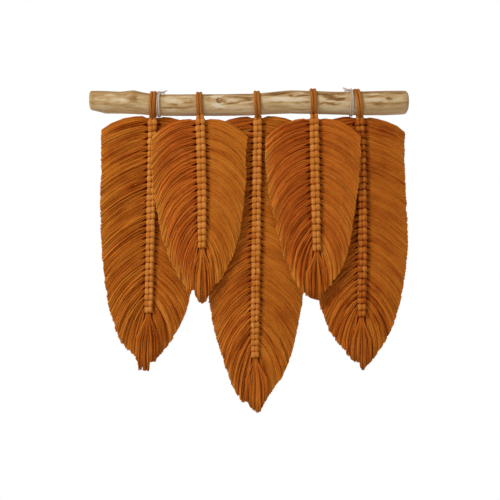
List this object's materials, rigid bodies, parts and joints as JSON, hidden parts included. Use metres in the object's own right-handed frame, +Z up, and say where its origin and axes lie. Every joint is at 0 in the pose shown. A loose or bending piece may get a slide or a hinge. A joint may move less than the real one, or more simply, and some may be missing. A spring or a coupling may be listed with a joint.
{
  "type": "macrame wall hanging on a branch",
  "caption": "Wide row of knotted cotton feathers with combed fringe, looped over a peeled branch, the long ones behind and the short ones in front, to hang on a wall.",
  "frame": {"origin": "the point of the wall behind the middle of the branch, level with its axis", "axes": "+X to the right as seen from the room, +Y into the wall, +Z up"},
  "size_m": [0.4022, 0.0371, 0.4086],
  "materials": {
    "peeled_wood": "bare, dry, with bark stains",
    "ochre_cotton": "matte combed cotton",
    "white_twine": "matte"
  },
  "bodies": {
    "root": {"branch": "peeled_wood", "feather_left": "ochre_cotton", "feather_mid_left": "ochre_cotton", "feather_centre": "ochre_cotton", "feather_mid_right": "ochre_cotton", "feather_right": "ochre_cotton", "loop_left": "ochre_cotton", "loop_mid_left": "ochre_cotton", "loop_centre": "ochre_cotton", "loop_mid_right": "ochre_cotton", "loop_right": "ochre_cotton", "tie_left": "white_twine", "tie_right": "white_twine"}
  },
  "joints": []
}
